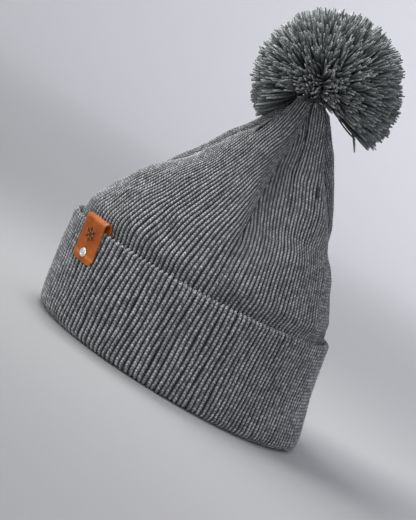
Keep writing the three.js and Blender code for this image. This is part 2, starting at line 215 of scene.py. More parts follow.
def level_curve(values):
    """The Catmull-Rom curve through one figure of the crown's levels, read by height."""
    values = np.array(values, float)
    last = len(values) - 1

    def at(height):
        place = np.clip((height - CUFF_HEIGHT) / (DOME_FOOT - CUFF_HEIGHT), 0, 1) * last
        i = np.minimum(place.astype(int), last - 1)
        t = place - i
        p0, p1, p2, p3 = [values[np.clip(i + step, 0, last)] for step in (-1, 0, 1, 2)]
        v0, v1 = (p2 - p0) / 2, (p3 - p1) / 2
        cubic = (2 * p1 - 2 * p2 + v0 + v1) * t**3 + (-3 * p1 + 3 * p2 - 2 * v0 - v1) * t**2
        return cubic + v0 * t + p1

    return at


FRONT_AT, BACK_AT = level_curve(CROWN_FRONT), level_curve(CROWN_BACK)
HALF_WIDTH_AT, DART_AT = level_curve(CROWN_HALF_WIDTH), level_curve(CROWN_DART)


def dart_angles(height):
    """The angles of the front, left, back and right darts at a height, and of the front one again."""
    tables = (SIDE_DART_SHIFT, FRONT_DART_SHIFT, BACK_DART_SHIFT)
    side, front, back = [np.radians(look_up(table, height)) for table in tables]
    return [front, TURN / 4 + side, TURN / 2 - back, TURN * 3 / 4 - side, TURN + front]


def dart_sink(angle, height):
    """The share of its radius by which the darts draw the crown in. A side dart sinks wider behind it."""
    front, left, back, right, again = dart_angles(height)
    side_depth = look_up(SIDE_DART_DEPTH, height)
    end_depth = END_DART_DEEPER * np.maximum(DART_AT(height), 0)
    sunk = [end_depth * bell(angle - dart, END_DART_ANGLE, 1.05) for dart in (front, back, again)]
    for behind in (angle - left, right - angle):
        steep = bell(behind, SIDE_DART_FRONT_ANGLE, 1.15)
        wide = bell(behind, SIDE_DART_BACK_ANGLE, 1.7)
        sunk.append(side_depth * np.where(behind > 0, wide, steep))
    return np.max(sunk, axis=0)


def band_point(angle, height, out):
    """A point on the cuff's outer surface, moved outwards by out."""
    nx, ny = np.sin(angle) / BAND_HALF_WIDTH, -np.cos(angle) / BAND_HALF_LENGTH
    size = np.hypot(nx, ny)
    x = BAND_HALF_WIDTH * np.sin(angle) + out * nx / size
    y = -BAND_HALF_LENGTH * np.cos(angle) - BAND_LEAN * height + out * ny / size
    return np.stack([x, y, height + 0 * x], -1)


def at_back(angle):
    """One at the back of the hat and nought at its front."""
    return ((1 - np.cos(angle)) / 2) ** 2


def cuff_point(angle, height, out):
    """A point on the cuff as it really lies: a little slack at the back and at the hem in front."""
    front = ((1 + np.cos(angle)) / 2) ** 4
    low, high = smoothstep(4, 42, height), smoothstep(44, CUFF_HEIGHT, height)
    slack = -BACK_SLACK * at_back(angle) * low - FRONT_SLACK * front * high
    return band_point(angle, height, out + slack)


def band_tangent(angle):
    """How far a point moves along the cuff for each radian."""
    return np.hypot(BAND_HALF_WIDTH * np.cos(angle), BAND_HALF_LENGTH * np.sin(angle))


def hem_rise(angle):
    """How much higher than at the front the cuff's top edge is."""
    return HEM_RISE_BACK * at_back(angle)


def crown_middle(height):
    """The point midway between the crown's front and back at a height."""
    return np.stack([0 * height, (FRONT_AT(height) + BACK_AT(height)) / 2, height], -1)


def crown_point(angle, height, inset):
    """A point on the crown's outer surface, moved inwards by inset. Past its foot the dome closes in."""
    angle, height = np.broadcast_arrays(np.asarray(angle, float), np.asarray(height, float))
    foot = DOME_FOOT - 1.2 * inset
    level = np.minimum(height, foot)
    over = np.clip((height - foot) / DOME_SPAN, 0, 1)
    low = band_point(angle, height, -CROWN_INSET - inset)
    front, back = FRONT_AT(level), BACK_AT(level)
    half_width, half_length = HALF_WIDTH_AT(level), (back - front) / 2
    pull = 1 - dart_sink(angle, level)
    nx, ny = np.sin(angle) / half_width, -np.cos(angle) / half_length
    size = np.hypot(nx, ny)
    x = half_width * pull * np.sin(angle) - inset * nx / size
    y = (front + back) / 2 - half_length * pull * np.cos(angle) - inset * ny / size
    x = x + (TIP_HOLE_RADIUS * np.sin(angle) - x) * over
    y = y + (TIP[1] - TIP_HOLE_RADIUS * np.cos(angle) - y) * over
    high = np.stack([x, y, level + DOME_RISE * np.sin(over * math.pi / 2)], -1)
    return np.where((height <= CUFF_HEIGHT)[..., None], low, high)


# ---- Where each rib runs ----

TABLE_HEIGHTS = np.linspace(CUFF_HEIGHT, DOME_FOOT, 76)
TABLE_STEPS = 160


def ribs_along(angles, arcs, pitches):
    """How many ribs there are up to each angle, when their widths are given by the angle."""
    pitch = look_up(pitches, np.degrees(np.minimum(angles, TURN - angles)))
    return np.append(0, np.cumsum(np.diff(arcs) / ((pitch[1:] + pitch[:-1]) / 2)))


class Quadrant:
    """The ribs between two darts: how many there are, which ones the darts end, and where each runs."""

    def __init__(self, index):
        self.index = index
        first, second = [edge[:, None] for edge in dart_angles(TABLE_HEIGHTS)[index:index + 2]]
        self.angles = first + (second - first) * np.linspace(0, 1, TABLE_STEPS)
        self.arcs = arc_length(crown_point(self.angles, TABLE_HEIGHTS[:, None], 0), axis=1)
        self.width = self.arcs[:, -1]
        in_front = index in (0, 3)
        least = FRONT_LEAST_PITCH if in_front else BACK_LEAST_PITCH
        anchor = FRONT_ANCHOR if in_front else BACK_ANCHOR
        self.anchor = anchor if index in (0, 1) else 1 - anchor
        low = np.searchsorted(TABLE_HEIGHTS, 90)
        counted = ribs_along(self.angles[low], self.arcs[low], CROWN_PITCH)
        self.ribs = round(counted[-1])
        self.rib_places = counted / counted[-1]
        self.arc_places = self.arcs[low] / self.width[low]
        at_foot = np.interp(DART_FOOT, TABLE_HEIGHTS, self.width) / self.ribs
        pitch = np.minimum(look_up(least, TABLE_HEIGHTS), at_foot)
        shown = np.where(TABLE_HEIGHTS <= DART_FOOT, self.ribs, self.width / pitch)
        self.shown = np.minimum.accumulate(np.minimum(shown, self.ribs)) / self.ribs

    def end_height(self, rib):
        """The height at which a rib, counted from the quadrant's first edge, meets a dart or the hole."""
        place = rib / self.ribs
        past = place - self.anchor
        kept = np.where(past < 0, 1 - place / self.anchor, past / (1 - self.anchor))
        falling = self.shown[::-1] + 1e-9 * np.arange(len(self.shown))
        height = np.interp(kept, falling, TABLE_HEIGHTS[::-1])
        return np.where(height > DOME_FOOT - 0.01, DOME_TOP, height)

    def angle(self, rib, height):
        """The angle of a rib at a height."""
        shown = np.interp(height, TABLE_HEIGHTS, self.shown)
        first = self.anchor * (1 - shown)
        last = self.anchor + (1 - self.anchor) * shown
        place = self._arc_place(np.clip(rib / self.ribs, first, last))
        first, last = self._arc_place(first), self._arc_place(last)
        share = np.clip((place - first) / (last - first), 0, 1)
        row = np.clip((height - CUFF_HEIGHT) / (DOME_FOOT - CUFF_HEIGHT), 0, 1) * (len(TABLE_HEIGHTS) - 1)
        below = np.minimum(row.astype(int), len(TABLE_HEIGHTS) - 2)
        mix = row - below
        return (1 - mix) * self._at_row(below, share) + mix * self._at_row(below + 1, share)

    def _arc_place(self, rib_place):
        return np.interp(rib_place, self.rib_places, self.arc_places)

    def _at_row(self, row, share):
        arc = share * self.width[row]
        low = np.zeros(row.shape, int)
        high = np.full(row.shape, TABLE_STEPS - 1)
        while np.any(high - low > 1):
            middle = (low + high) // 2
            below = self.arcs[row, middle] <= arc
            low, high = np.where(below, middle, low), np.where(below, high, middle)
        a0, a1 = self.arcs[row, low], self.arcs[row, high]
        t = np.clip((arc - a0) / np.maximum(a1 - a0, 1e-9), 0, 1)
        return self.angles[row, low] * (1 - t) + self.angles[row, high] * t

    def pitch(self, height):
        return np.interp(height, TABLE_HEIGHTS, self.width / (self.shown * self.ribs))


def cuff_ribs(first_angle):
    """The ribs of the half of the cuff that starts at an angle: how many, and a way to their angles."""
    angles = np.linspace(first_angle, first_angle + math.pi, 800)
    counted = ribs_along(angles, arc_length(band_point(angles, 0 * angles, 0)), CUFF_PITCH)
    ribs = round(counted[-1])
    return ribs, lambda rib: np.interp(rib, counted * ribs / counted[-1], angles)


# ---- Meshes ----


def mesh_object(name, points, faces, material, uvs=None):
    """A smooth mesh from points in millimetres and faces of one size, and a UV for every point if given."""
    points = np.reshape(points, (-1, 3)) * MM
    faces = np.asarray(faces, np.int32)
    mesh = bpy.data.meshes.new(name)
    mesh.vertices.add(len(points))
    mesh.vertices.foreach_set("co", points.astype(np.float32).ravel())
    mesh.loops.add(faces.size)
    mesh.loops.foreach_set("vertex_index", faces.ravel())
    mesh.polygons.add(len(faces))
    mesh.polygons.foreach_set("loop_start", np.arange(0, faces.size, faces.shape[1], dtype=np.int32))
    if uvs is not None:
        uvs = np.reshape(uvs, (-1, 2)).astype(np.float32)
        mesh.uv_layers.new(name="Thread").data.foreach_set("uv", uvs[faces.ravel()].ravel())
    mesh.update(calc_edges=True)
    mesh.shade_smooth()
    obj = bpy.data.objects.new(name, mesh)
    bpy.context.scene.collection.objects.link(obj)
    mesh.materials.append(material)
    return obj


def close_mesh(obj, fill):
    """Fills a tube's open ends, or else joins the points that lie together, and turns the faces out."""
    bm = bmesh.new()
    bm.from_mesh(obj.data)
    if fill:
        bmesh.ops.holes_fill(bm, edges=[e for e in bm.edges if e.is_boundary], sides=0)
    else:
        bmesh.ops.remove_doubles(bm, verts=bm.verts, dist=1e-6)
    bmesh.ops.recalc_face_normals(bm, faces=bm.faces)
    bm.to_mesh(obj.data)
    bm.free()
    obj.data.shade_smooth()


def grid_faces(rows, columns, closed=False):
    """The quads of a grid of points, row by row. A closed grid joins each row's last point to its first."""
    across = columns if closed else columns - 1
    i, j = np.meshgrid(np.arange(across), np.arange(rows - 1))
    i, j = i.ravel(), j.ravel()
    k = (i + 1) % columns
    return np.stack([j * columns + i, j * columns + k, (j + 1) * columns + k, (j + 1) * columns + i], -1)


def uv_grid(u, v):
    """UVs from two arrays that are spread over one grid."""
    return np.stack(np.broadcast_arrays(u, v), -1)


def smooth_noise(points, scale, seed):
    """Soft noise from -1 to 1 over points in millimetres, about one swell per scale."""
    local = np.random.default_rng(seed)
    total = np.zeros(points.shape[:-1])
    waves = 7
    for _ in range(waves):
        direction = local.normal(size=3)
        direction *= (0.6 + 0.8 * local.random()) * TURN / scale / np.linalg.norm(direction)
        total += np.sin(points @ direction + local.random() * TURN)
    return total / math.sqrt(waves)


def rib_columns(ribs, columns=RIB_COLUMNS):
    """The rib coordinate of every mesh column across a stretch of ribs, closing on the last rib's edge."""
    places = (np.arange(ribs)[:, None] + np.array(columns)).ravel()
    return np.append(places, ribs)


def rib_side(place):
    """How far a place is from the middle of its rib: 0 in the middle, 1 in the valley."""
    return np.abs(2 * (place - np.floor(place)) - 1)


def rib_height(place):
    """The height of a rib's section, a round cord with a narrow valley on each side, from 0 to 1."""
    return np.sqrt(np.maximum(1 - (rib_side(place) / RIB_FILL) ** 2, 0))


def raise_ribs(base, place, depth):
    """Lifts the ribs off a grid of base points, with each stitch swelling a little as it does in yarn."""
    normal = unit(np.cross(np.gradient(base, axis=1), np.gradient(base, axis=0)))
    side = rib_side(place)
    rows = np.arange(len(base))[:, None]
    swell = STITCH_SWELL * np.cos(math.pi * rows + 0.8 * math.pi * side)
    uneven = RIB_UNEVENNESS * smooth_noise(base, 9, 3) * rib_height(place)
    height = rib_height(place) * (1 + swell * (side < 0.8)) + uneven - 1
    return base + normal * (height * depth)[..., None]


def wobble(rib, along, amount):
    """How far a rib strays sideways on its way up, in ribs. Each rib strays a little differently."""
    whole = np.floor(rib + 1e-6)
    phase = TURN * np.modf(np.abs(np.sin(whole * 12.9898)) * 437.58)[0]
    edge = np.minimum(rib - rib.min(), rib.max() - rib)
    return amount * np.sin(along / 11 + 0.45 * rib + 0.3 * phase) * np.clip(edge, 0, 1)


# ---- Knit pieces ----


def knit_crown(quadrant, material, side):
    """One quadrant of the crown's outer layer, from behind the cuff up to the tip or the darts."""
    rib = rib_columns(quadrant.ribs)
    start = CROWN_START_HEIGHT
    hidden = np.linspace(CROWN_LOW[2] + 0.7, start, 8)[:-1, None]
    rows = int((DOME_TOP - start) / CROWN_ROW / 2) * 2
    share = np.linspace(0, 1, rows)[:, None]
    height = np.concatenate([hidden + 0 * rib, start + (quadrant.end_height(rib) - start) * share])
    place = rib[None, :]
    stray = wobble(place, height, CROWN_STRAY) * smoothstep(start, CUFF_HEIGHT + 8, height)
    angle = quadrant.angle(place + stray, height)
    base = crown_point(angle, height, 0)
    slack = 1.0 * smooth_noise(base, 55, 11) + 0.45 * smooth_noise(base, 24, 12)
    loose = smoothstep(CUFF_HEIGHT, CUFF_HEIGHT + 25, height)
    slack *= loose * smoothstep(DOME_FOOT, DOME_FOOT - 40, height)
    above_hem = height - CUFF_HEIGHT - hem_rise(angle)
    slack += BULGE * bell(above_hem - 13, 8) - TUCK * bell(above_hem, 6)
    round_back = smoothstep(1.65, 2.3, np.minimum(angle, TURN - angle))
    for level, reach, rise in BACK_FOLDS:
        slack += rise * bell(height - level, reach) * round_back
    slack *= smoothstep(0, 3, np.minimum(place, quadrant.ribs - place))
    base = base + level_unit(base - crown_middle(height)) * slack[..., None]
    depth = RIB_DEPTH_SHARE * quadrant.pitch(height) * smoothstep(DOME_TOP, DOME_FOOT, height)
    points = raise_ribs(base, place, depth)
    uvs = uv_grid(place + 50 * quadrant.index, arc_length(base) / STITCH)
    obj = mesh_object("crown_knit_" + side, points, grid_faces(*height.shape), material, uvs)
    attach(obj, "crown")
    return obj


def straight(out, start, end, count):
    """Points one above another, as (out, height)."""
    return np.stack([np.full(count, out, float), np.linspace(start, end, count)], -1)


def bend(out, height, radius, start, end, count):
    """Points on an arc round a centre, as (out, height)."""
    turn = np.linspace(start, end, count)
    return np.stack([out + radius * np.cos(turn), height + radius * np.sin(turn)], -1)


def cuff_path():
    """The cuff's outline seen from its edge, as (out, height): over the hem, down, and round the brim."""
    hem, fold = CUFF_HEIGHT - HEM_RADIUS, BRIM_FOLD_RADIUS
    face_rows = 2 * round((hem - fold) / STITCH)
    stretches = [
        straight(-CUFF_THICKNESS, CUFF_HEIGHT - 24, hem, 6)[:-1],
        bend(-HEM_RADIUS, hem, HEM_RADIUS, math.pi, 0, 7),
        straight(0, hem, fold, face_rows)[1:-1],
        bend(-fold, fold, fold, 0, -math.pi, 17),
    ]
    return np.concatenate(stretches)


def knit_cuff(first_angle, material, side):
    """Half of the turned-up cuff: hem, face and brim fold."""
    path = cuff_path()
    out, low = path[:, :1], path[:, 1:]
    run = arc_length(path)[:, None]
    ribs, angle_of = cuff_ribs(first_angle)
    rib = rib_columns(ribs)
    place = rib[None, :]
    angle = angle_of(place + wobble(place, run, CUFF_STRAY))
    turn = angle if side == "left" else TURN - angle
    side_on = smoothstep(math.radians(12), math.radians(60), turn) * smoothstep(math.pi, 2.6, turn)
    drift = CUFF_DRIFT * (low - CUFF_HEIGHT / 2) * side_on / band_tangent(angle)
    angle = angle + (drift if side == "left" else -drift)
    raised = np.clip((low - 12) / (CUFF_HEIGHT - HEM_RADIUS - 12), 0, 1)
    base = cuff_point(angle, low + hem_rise(angle) * raised, out)
    face = smoothstep(0, 12, low) * smoothstep(CUFF_HEIGHT + 12, CUFF_HEIGHT - 14, low)
    lift = 0.8 * smooth_noise(base, 70, 21) * face
    hem_wave = 0.6 * smooth_noise(base * [1, 1, 0], 60, 22) * smoothstep(40, CUFF_HEIGHT, low)
    normal = band_point(angle, 0 * angle, 1.0) - band_point(angle, 0 * angle, 0.0)
    base = base + normal * lift[..., None]
    base[..., 2] += hem_wave
    pitch = np.linalg.norm(np.gradient(base, axis=1), axis=2) / np.gradient(rib)[None, :]
    depth = RIB_DEPTH_SHARE * np.minimum(pitch, 3.9)
    points = raise_ribs(base[:, ::-1], place[:, ::-1], depth[:, ::-1])[:, ::-1]
    uvs = uv_grid(place + 300 + first_angle, -run / STITCH)
    faces = grid_faces(len(path), len(rib))[:, ::-1]
    obj = mesh_object("cuff_knit_" + side, points, faces, material, uvs)
    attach(obj, "cuff")
    return obj


def knit_lining(quadrants, material):
    """The layer against the head, from the brim fold up to the tip."""
    top = DOME_TOP - 1.2 * LINING_DEPTH
    levels = [np.linspace(6.4, CUFF_HEIGHT, 16)[:-1], np.linspace(CUFF_HEIGHT, top, 48)]
    levels = np.concatenate(levels)[:, None]
    places, angles = [], []
    for quadrant in quadrants:
        rib = rib_columns(quadrant.ribs, LINING_COLUMNS)[:-1]
        places.append(rib + 50 * quadrant.index)
        angles.append(quadrant.angle(rib + 0 * levels, np.minimum(levels, DART_FOOT) + 0 * rib))
    place, angle = np.concatenate(places)[None, :], np.concatenate(angles, axis=1)
    height = levels + 0 * place
    base = crown_point(angle, height, LINING_DEPTH)
    inward = (crown_middle(height) - base) * [1, 1, 0]
    narrowing = np.clip(np.linalg.norm(inward, axis=2) / 60, 0.1, 1)
    relief = LINING_RIB_DEPTH * np.sqrt(np.maximum(1 - rib_side(place) ** 2, 0)) * narrowing
    points = base + unit(inward) * (relief - LINING_RIB_DEPTH)[..., None]
    faces = grid_faces(*height.shape, closed=True)[:, ::-1]
    obj = mesh_object("lining_knit", points, faces, material, uv_grid(place, -height / STITCH))
    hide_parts("crown_lining", "cuff_backing_layer")
    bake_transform(obj)
    return obj


# ---- Materials ----


class Nodes:
    """A short way to write a node material."""

    def __init__(self, name):
        self.material = bpy.data.materials.new(name)
        self.material.use_nodes = True
        self.tree = self.material.node_tree
        self.shader = self.tree.nodes["Principled BSDF"]

    def add(self, kind, inputs=None, **settings):
        node = self.tree.nodes.new(kind)
        for key, value in settings.items():
            setattr(node, key, value)
        for key, value in (inputs or {}).items():
            self.put(node.inputs[key], value)
        return node

    def put(self, socket, value):
        if isinstance(value, bpy.types.NodeSocket):
            self.tree.links.new(value, socket)
        else:
            socket.default_value = value

    def math(self, operation, a, b=0.0, c=0.0):
        return self.add("ShaderNodeMath", {0: a, 1: b, 2: c}, operation=operation).outputs[0]

    def times(self, a, b, *plus):
        """a times b, plus a third number if one is given."""
        return self.math("MULTIPLY_ADD" if plus else "MULTIPLY", a, b, *plus)

    def ramp(self, value, stops):
        """A colour ramp. A stop's colour is three numbers, or one for a grey."""
        node = self.add("ShaderNodeValToRGB", {"Fac": value})
        elements = node.color_ramp.elements
        while len(elements) < len(stops):
            elements.new(0.5)
        for element, (position, color) in zip(elements, stops):
            element.position = position
            element.color = (*np.broadcast_to(color, 3), 1)
        return node.outputs["Color"]

    def mix(self, factor, a, b, blend_type="MIX"):
        inputs = {"Factor": factor, "A": a, "B": b}
        return self.add("ShaderNodeMix", inputs, data_type="RGBA", blend_type=blend_type).outputs["Result"]

    def noise(self, vector, scale, detail=2.0, roughness=0.5):
        inputs = {"Vector": vector, "Scale": scale, "Detail": detail, "Roughness": roughness}
        return self.add("ShaderNodeTexNoise", inputs).outputs["Fac"]

    def thread(self):
        """The rib and stitch coordinates, as two separate numbers."""
        uv = self.add("ShaderNodeUVMap", uv_map="Thread")
        split = self.add("ShaderNodeSeparateXYZ", {"Vector": uv.outputs["UV"]})
        return split.outputs["X"], split.outputs["Y"]

    def place(self, scale=(1, 1, 1)):
        """Object coordinates in metres, stretched."""
        inputs = {"Vector": self.add("ShaderNodeTexCoord").outputs["Object"], "Scale": scale}
        return self.add("ShaderNodeMapping", inputs).outputs["Vector"]

    def join(self, x, y, z=0.0):
        return self.add("ShaderNodeCombineXYZ", {0: x, 1: y, 2: z}).outputs[0]

    def bump(self, height, distance):
        node = self.add("ShaderNodeBump", {"Height": height, "Distance": distance, "Strength": 1.0})
        self.put(self.shader.inputs["Normal"], node.outputs["Normal"])

    def finish(self, **inputs):
        """Sets or links the shader's own sockets."""
        for key, value in inputs.items():
            self.put(self.shader.inputs[key.replace("_", " ")], value)
        return self.material


def knit_material():
    """Heather grey rib knit: V stitches, painted shade in the rib valleys and between the stitch loops, and
    a mix of pale and dark fibres.
    """
    n = Nodes("heather_knit")
    rib, run = n.thread()
    across = n.math("FRACT", rib)
    side = n.math("ABSOLUTE", n.math("SUBTRACT", n.times(across, 2.0), 1.0))
    leg = n.math("ADD", run, n.times(side, 0.75))
    which = n.join(n.math("FLOOR", n.times(rib, 2.0)), n.math("FLOOR", leg))
    stitch = n.add("ShaderNodeTexWhiteNoise", {"Vector": which}, noise_dimensions="2D").outputs["Value"]
    wave = n.math("ABSOLUTE", n.math("SINE", n.times(leg, math.pi)))
    loop = n.math("POWER", wave, 0.75)
    fibre = n.noise(n.join(n.times(rib, 7.0), n.times(leg, 3.2)), 1.0, 3.0, 0.65)
    patch = n.noise(n.place(), 45.0, 3.0, 0.6)
    speck = n.times(stitch, 0.42, n.times(fibre, 0.58))
    speck = n.times(patch, 0.22, n.math("SUBTRACT", speck, 0.11))
    tone = n.ramp(
        speck,
        [
            (0.24, (0.12, 0.125, 0.13)), (0.42, (0.24, 0.25, 0.255)),
            (0.58, (0.36, 0.37, 0.38)), (0.76, (0.55, 0.555, 0.565)),
        ],
    )
    # Painted shade: the colour darkens from each rib's crown into its valleys, deeper than the mesh's real
    # rib relief shades them, and darkens again between the stitch loops.
    painted_valley_shade = n.ramp(side, [(0.0, 1.0), (0.32, 0.95), (0.55, 0.55), (0.72, 0.10), (0.82, 0.03)])
    between = n.times(loop, 0.7, 0.46)
    shade = n.mix(1.0, painted_valley_shade, n.join(between, between, between), "MULTIPLY")
    color = n.mix(1.0, tone, shade, "MULTIPLY")
    height = n.times(loop, n.math("SUBTRACT", 1.0, n.math("POWER", side, 3.0)))
    n.bump(n.times(fibre, 0.35, height), 0.0008)
    return n.finish(Base_Color=color, Roughness=0.95, Sheen_Weight=0.22, Sheen_Roughness=0.5)


def yarn_material():
    """Cut plied yarn: each strand has its own grey, with painted shade that darkens it towards the pom's
    heart.
    """
    n = Nodes("pom_yarn_grey")
    strand, run = n.thread()
    own = n.add("ShaderNodeTexWhiteNoise", {"W": n.math("FLOOR", strand)}, noise_dimensions="1D")
    fibre = n.noise(n.join(n.times(strand, 6.0), n.times(run, 9.0)), 1.0, 3.0, 0.6)
    ply = n.math("SINE", n.math("ADD", n.times(run, 52.0), n.times(strand, TURN)))
    mixed = n.times(own.outputs["Value"], 0.45, n.times(fibre, 0.55))
    tone = n.ramp(
        mixed,
        [
            (0.2, (0.065, 0.071, 0.071)), (0.45, (0.14, 0.152, 0.15)),
            (0.6, (0.26, 0.277, 0.273)), (0.82, (0.50, 0.52, 0.515)),
        ],
    )
    # Painted shade: each strand darkens towards its root in the pom's heart, where little light reaches.
    depth = n.math("MINIMUM", n.times(n.math("POWER", run, 3.3), 1.0, 0.02), 1.0)
    color = n.mix(1.0, tone, n.join(depth, depth, depth), "MULTIPLY")
    n.bump(n.times(fibre, 0.7, ply), 0.0002)
    return n.finish(Base_Color=color, Roughness=0.95, Sheen_Weight=0.15, Sheen_Roughness=0.5)


def thread_material():
    """Dark twisted sewing thread."""
    n = Nodes("sewing_thread")
    twist = n.add("ShaderNodeTexWave", {"Vector": n.place(), "Scale": 380.0, "Distortion": 2.0})
    tone = n.ramp(twist.outputs["Fac"], [(0.0, (0.03, 0.03, 0.032)), (1.0, (0.13, 0.13, 0.135))])
    n.bump(twist.outputs["Fac"], 0.0002)
    return n.finish(Base_Color=tone, Roughness=0.8)


def leather_material():
    """Smooth tan leather with a fine grain, cloudy dye and paler worn edges."""
    n = Nodes("tan_leather")
    cloud = n.noise(n.place(), 120.0, 4.0, 0.6)
    grain = n.add("ShaderNodeTexVoronoi", {"Vector": n.place(), "Scale": 1500.0}).outputs["Distance"]
    pore = n.noise(n.place(), 900.0, 3.0, 0.6)
    edge = n.add("ShaderNodeNewGeometry").outputs["Pointiness"]
    worn = n.times(n.math("SUBTRACT", edge, 0.5), 9.0)
    tone = n.ramp(
        cloud,
        [(0.25, (0.21, 0.042, 0.004)), (0.5, (0.33, 0.074, 0.007)), (0.75, (0.43, 0.11, 0.012))],
    )
    worn = n.math("MAXIMUM", n.math("MINIMUM", worn, 0.55), 0.0)
    tone = n.mix(worn, tone, (0.45, 0.14, 0.026, 1))
    rough = n.times(pore, 0.25, 0.3)
    n.bump(n.times(pore, 0.6, grain), 0.00008)
    return n.finish(Base_Color=tone, Roughness=rough, Specular_IOR_Level=0.28)


def burnt_material():
    """Charred leather, for the burnt mark."""
    n = Nodes("burnt_leather")
    soot = n.noise(n.place(), 700.0, 3.0, 0.6)
    tone = n.ramp(soot, [(0.3, (0.008, 0.005, 0.004)), (0.7, (0.035, 0.018, 0.010))])
    n.bump(soot, 0.0001)
    return n.finish(Base_Color=tone, Roughness=0.7)


def steel_material():
    """Bright plated metal with fine turning lines."""
    n = Nodes("plated_rivet")
    scratch = n.noise(n.place(), 2500.0, 2.0, 0.5)
    tone = n.ramp(scratch, [(0.3, (0.80, 0.79, 0.76)), (0.7, (0.93, 0.92, 0.90))])
    return n.finish(Base_Color=tone, Roughness=n.times(scratch, 0.2, 0.27), Metallic=0.85)


# ---- Leather tab ----

TAB_ANGLE = math.radians(40)
TAB_WIDTH = 23
TAB_THICKNESS = 1.5
TAB_CLEARANCE = 0.3
TAB_CORNER = 5.5
TAB_EDGE = 0.45
TAB_RISE = float(TAB_HIGH[2]) - CUFF_HEIGHT
TAB_FRONT_END = float(TAB_LOW[2])
TAB_BACK_END = TAB_FRONT_END + 1
RIVET_HEIGHT = TAB_FRONT_END + 6.3
RIVET_RADIUS = 3.4
MARK_HEIGHT = TAB_FRONT_END + 19.6
MARK_ARM = 5.6
MARK_LINE = 0.95
MARK_DEPTH = 0.25


def tab_swell(height):
    """How far the strap's face bulges out towards its fold."""
    return 0.5 * bell(height - TAB_FRONT_END - 28.5, 7)


def tab_path(steps):
    """The strap's middle line as (out, height), from the front end over the hem to the back end."""
    front = TAB_CLEARANCE + TAB_THICKNESS / 2
    back = -CUFF_THICKNESS - TAB_CLEARANCE - TAB_THICKNESS / 2
    radius = (front - back) / 2
    shoulder = CUFF_HEIGHT + TAB_RISE - TAB_THICKNESS / 2 - radius
    stretches = [
        straight(front, TAB_FRONT_END, shoulder, steps)[:-1],
        bend((front + back) / 2, shoulder, radius, 0, math.pi, steps),
        straight(back, shoulder, TAB_BACK_END, steps // 2)[1:],
    ]
    path = np.concatenate(stretches)
    path[:, 0] += tab_swell(path[:, 1]) * (path[:, 0] > 0)
    return path


def tab_place(across, height, out):
    """A point on or above the cuff, by its distance from the tab's middle line."""
    return cuff_point(TAB_ANGLE + across / band_tangent(TAB_ANGLE), height, out)


def corner_cut(radius, to_end):
    """How much a rounded corner takes off the side at a distance from the end."""
    return radius - math.sqrt(max(radius**2 - max(radius - to_end, 0) ** 2, 0))


def strap_section(half_width, half_thick):
    """The outline of the strap's section, with rounded edges. Its second half mirrors the first."""
    corner = min(TAB_EDGE, half_thick)
    side = half_width - corner
    turns = np.linspace(0, math.pi / 2, 4)
    half = [(x, half_thick) for x in np.linspace(-side, side, 12)]
    half += [(side + corner * math.sin(t), half_thick - corner + corner * math.cos(t)) for t in turns[1:]]
    half += [(side + corner * math.cos(t), corner - half_thick - corner * math.sin(t)) for t in turns[:-1]]
    return np.concatenate([half, -np.array(half)])


def leather_tab(material):
    """The folded strap: a section with rounded edges swept along the path, its free corners rounded."""
    path = tab_path(26)
    along = unit(np.gradient(path, axis=0))
    run = arc_length(path)
    near_ends = np.array([0.0, 0.02, 0.08, 0.2, 0.4, 0.7, 1.1, 1.7, 2.5, 3.5, 4.6])
    places = np.unique(np.concatenate([run, near_ends, run[-1] - near_ends]))
    lines = [np.interp(places, run, line) for line in (*path.T, along[:, 1], -along[:, 0])]
    rows = []
    for place, out, height, normal_out, normal_up in zip(places, *lines):
        to_end = min(place, run[-1] - place)
        half_width = TAB_WIDTH / 2 - corner_cut(TAB_CORNER, to_end)
        half_thick = TAB_THICKNESS / 2 - corner_cut(TAB_EDGE, to_end)
        across, off = strap_section(half_width, half_thick).T
        rows.append(tab_place(across, height + normal_up * off, out + normal_out * off))
    faces = grid_faces(len(rows), len(rows[0]), closed=True)
    obj = mesh_object("leather_tab_strap", rows, faces, material)
    close_mesh(obj, fill=True)
    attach(obj, "cuff")
    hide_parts("leather_tab")


def tab_mark(material):
    """A plain six-armed snowflake burnt into the tab's face."""
    face = TAB_CLEARANCE + TAB_THICKNESS + 0.04
    rings = 6
    points = []

    def bar(start, end):
        side = unit(np.array([start[1] - end[1], end[0] - start[0]])) * MARK_LINE / 2
        for share in np.linspace(0, 1, rings):
            for sign, sunk in ((1, 0), (-1, 0), (-1, MARK_DEPTH), (1, MARK_DEPTH)):
                across, up = start + (end - start) * share + side * sign
                height = MARK_HEIGHT + up
                points.append(tab_place(across, height, face + tab_swell(height) - sunk))

    turns = [TURN / 4 + TURN * i / 6 for i in range(6)]
    for turn in turns[:3]:
        bar(-ray(turn) * MARK_ARM, ray(turn) * MARK_ARM)
    for turn in turns:
        root = ray(turn) * MARK_ARM * 0.52
        for spread in (-1, 1):
            bar(root, root + ray(turn + spread * math.radians(52)) * MARK_ARM * 0.36)
    first = np.arange(0, len(points), 4 * rings)[:, None, None]
    faces = (grid_faces(rings, 4, closed=True) + first).reshape(-1, 4)
    obj = mesh_object("tab_mark", points, faces, material)
    close_mesh(obj, fill=True)
    obj.data.shade_flat()
    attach(obj, "cuff")


